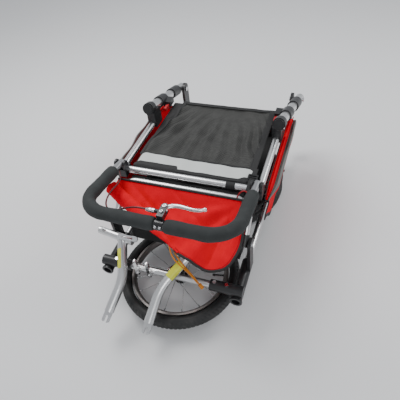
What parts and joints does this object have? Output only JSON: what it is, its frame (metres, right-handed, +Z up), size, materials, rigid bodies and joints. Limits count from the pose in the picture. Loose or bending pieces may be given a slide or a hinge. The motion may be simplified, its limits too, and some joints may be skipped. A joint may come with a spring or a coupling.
{
  "type": "child bicycle trailer",
  "caption": "Child bicycle trailer folded flat: tube frame, folding back frame with foam handlebar and brake, red cover, mesh pocket, jogging arms and wheels taken off.",
  "frame": {"origin": "on the ground under the middle of the folded trailer", "axes": "+Y towards the trailer's rear, +X to its right seen from behind the handlebar, +Z up"},
  "size_m": [0.544, 1.0086, 0.4295],
  "materials": {
    "silver_tube": "satin anodised",
    "handlebar_tube": "satin",
    "black_casting": "moulded glass-filled",
    "steel_fastener": "zinc bright",
    "button_black": "moulded",
    "polished_alloy": "polished",
    "brake_black": "anodised black",
    "foam": "closed-cell foam",
    "cable_housing": "sheathed",
    "tyre_rubber": "moulded tread",
    "rim_alloy": "satin",
    "spoke_steel": "drawn stainless",
    "hub_black": "anodised",
    "black_fabric": "coated weave",
    "seat_fabric": "brushed weave",
    "red_fabric": "coated nylon",
    "mesh_fabric": "open net",
    "reflective_fabric": "retroreflective",
    "buckle_plastic": "moulded",
    "red_plastic": "moulded",
    "orange_cord": "braided",
    "red_cord": "braided elastic"
  },
  "bodies": {
    "chassis": {"side_rails": "silver_tube", "front_cross_tube": "silver_tube", "front_castings": "black_casting", "axle_tube": "silver_tube", "rear_castings": "black_casting", "frame_bolts": "steel_fastener", "front_hoop": "silver_tube", "hoop_end_caps": "black_casting", "cabin_tub": "black_fabric", "seat_base": "seat_fabric", "seat_back": "seat_fabric", "front_cover": "red_fabric", "side_panel_left": "red_fabric", "side_panel_right": "red_fabric", "roof_panel": "black_fabric", "pull_cord": "orange_cord", "pull_toggle": "orange_cord", "tie_loop": "red_cord"},
    "back_frame": {"back_frame_tubes": "silver_tube", "back_frame_castings": "black_casting", "back_struts": "silver_tube", "strut_sleeves": "black_casting", "mesh_panel": "mesh_fabric", "reflective_strip": "reflective_fabric", "edge_strap": "black_fabric", "strap_buckle": "buckle_plastic"},
    "release_tab_left": {"release_tab_left": "red_plastic"},
    "release_tab_right": {"release_tab_right": "red_plastic"},
    "handlebar": {"handlebar_tube": "handlebar_tube", "foam_grip_left": "foam", "foam_grip_right": "foam", "brake_clamp": "brake_black", "brake_cable": "cable_housing"},
    "brake_lever": {"brake_lever_blade": "polished_alloy"},
    "brake_arm_left": {"brake_arm_left": "polished_alloy"},
    "brake_arm_right": {"brake_arm_right": "polished_alloy"},
    "jog_skewer": {"jog_skewer": "polished_alloy"},
    "jog_cam": {"jog_cam_lever": "polished_alloy"},
    "jog_wheel": {"jog_tyre": "tyre_rubber", "jog_rim": "rim_alloy", "jog_spokes": "spoke_steel", "jog_hub": "hub_black"},
    "main_sleeve_1": {"main_hub_sleeve_1": "steel_fastener"},
    "main_wheel_1": {"main_tyre_1": "tyre_rubber", "main_rim_1": "rim_alloy", "main_spokes_1": "spoke_steel", "main_hub_1": "hub_black"},
    "main_sleeve_2": {"main_hub_sleeve_2": "steel_fastener"},
    "main_wheel_2": {"main_tyre_2": "tyre_rubber", "main_rim_2": "rim_alloy", "main_spokes_2": "spoke_steel", "main_hub_2": "hub_black"},
    "jog_arm_left": {"jog_arm_left": "silver_tube"},
    "jog_arm_right": {"jog_arm_right": "silver_tube"},
    "lock_loop_left": {"arm_lock_loop_left": "polished_alloy"},
    "lock_loop_right": {"arm_lock_loop_right": "polished_alloy"},
    "axle_pin_left": {"axle_pin_left": "steel_fastener"},
    "axle_pin_right": {"axle_pin_right": "steel_fastener"},
    "axle_button_left": {"axle_button_left": "button_black"},
    "axle_button_right": {"axle_button_right": "button_black"}
  },
  "joints": [
    {"name": "back_frame_fold", "type": "hinge", "parent": "chassis", "child": "back_frame", "pos_m": [0, 0.478, 0.282], "axis": [-1, 0, 0], "range_deg": [0, 95], "deforming": ["side_panel_left", "side_panel_right", "roof_panel"]},
    {"name": "handlebar_tilt", "type": "hinge", "parent": "back_frame", "child": "handlebar", "pos_m": [0, -0.105, 0.36], "axis": [-1, 0, 0], "range_deg": [0, 110]},
    {"name": "brake_lever_squeeze", "type": "hinge", "parent": "handlebar", "child": "brake_lever", "pos_m": [0.024, -0.301, 0.42], "axis": [0, 0, -1], "range_deg": [0, 16], "stiffness_Nm_per_rad": 1.5, "springref_deg": -8.59},
    {"name": "brake_arm_left_turn", "type": "hinge", "parent": "chassis", "child": "brake_arm_left", "pos_m": [-0.102, -0.32, 0.13], "axis": [0, 1, 0], "range_deg": [0, 5]},
    {"name": "brake_arm_right_turn", "type": "hinge", "parent": "chassis", "child": "brake_arm_right", "pos_m": [-0.062, -0.32, 0.13], "axis": [0, -1, 0], "range_deg": [0, 5]},
    {"name": "release_tab_left_push", "type": "slide", "parent": "back_frame", "child": "release_tab_left", "axis": [0, 1, 0], "range_m": [0, 0.006], "stiffness_N_per_m": 300, "springref_m": -0.002},
    {"name": "release_tab_right_push", "type": "slide", "parent": "back_frame", "child": "release_tab_right", "axis": [0, 1, 0], "range_m": [0, 0.006], "stiffness_N_per_m": 300, "springref_m": -0.002},
    {"name": "jog_wheel_stow", "type": "slide", "parent": "chassis", "child": "jog_skewer", "axis": [0.4472, -0.8944, 0], "range_m": [0, 0.3]},
    {"name": "jog_wheel_spin", "type": "hinge", "parent": "jog_skewer", "child": "jog_wheel", "pos_m": [0, -0.258, 0.05], "axis": [0, 0, 1], "continuous": true},
    {"name": "jog_cam_flip", "type": "hinge", "parent": "jog_skewer", "child": "jog_cam", "pos_m": [0, -0.258, 0.101], "axis": [-0.8192, 0.5736, 0], "range_deg": [0, 160]},
    {"name": "main_wheel_1_stow", "type": "slide", "parent": "chassis", "child": "main_sleeve_1", "axis": [0, 1, 0], "range_m": [0, 0.4]},
    {"name": "main_wheel_1_spin", "type": "hinge", "parent": "main_sleeve_1", "child": "main_wheel_1", "pos_m": [0, 0.218, 0.0235], "axis": [0, 0, 1], "continuous": true},
    {"name": "main_wheel_2_stow", "type": "slide", "parent": "chassis", "child": "main_sleeve_2", "axis": [0, 1, 0], "range_m": [0, 0.4]},
    {"name": "main_wheel_2_spin", "type": "hinge", "parent": "main_sleeve_2", "child": "main_wheel_2", "pos_m": [0, 0.218, 0.0715], "axis": [0, 0, 1], "continuous": true},
    {"name": "jog_arm_left_stow", "type": "slide", "parent": "chassis", "child": "jog_arm_left", "axis": [0, -1, 0], "range_m": [0, 0.3]},
    {"name": "lock_loop_left_turn", "type": "hinge", "parent": "jog_arm_left", "child": "lock_loop_left", "pos_m": [-0.1744, -0.26891, 0.19511], "axis": [0.0643, 0.4573, -0.887], "range_deg": [0, 80]},
    {"name": "jog_arm_right_stow", "type": "slide", "parent": "chassis", "child": "jog_arm_right", "axis": [0, -1, 0], "range_m": [0, 0.3], "deforming": ["pull_cord"]},
    {"name": "lock_loop_right_turn", "type": "hinge", "parent": "jog_arm_right", "child": "lock_loop_right", "pos_m": [0.05559, -0.27921, 0.19511], "axis": [0.0322, 0.4606, -0.887], "range_deg": [0, 50]},
    {"name": "axle_pin_left_pull", "type": "slide", "parent": "chassis", "child": "axle_pin_left", "axis": [-1, 0, 0], "range_m": [0, 0.07]},
    {"name": "axle_button_left_push", "type": "slide", "parent": "axle_pin_left", "child": "axle_button_left", "axis": [1, 0, 0], "range_m": [0, 0.0025], "stiffness_N_per_m": 500, "springref_m": -0.001},
    {"name": "axle_pin_right_pull", "type": "slide", "parent": "chassis", "child": "axle_pin_right", "axis": [1, 0, 0], "range_m": [0, 0.07]},
    {"name": "axle_button_right_push", "type": "slide", "parent": "axle_pin_right", "child": "axle_button_right", "axis": [-1, 0, 0], "range_m": [0, 0.0025], "stiffness_N_per_m": 500, "springref_m": -0.001}
  ],
  "couplings": [
    {"joint": "brake_arm_left_turn", "follows": "brake_lever_squeeze", "ratio": 0.3},
    {"joint": "brake_arm_right_turn", "follows": "brake_lever_squeeze", "ratio": 0.3}
  ]
}
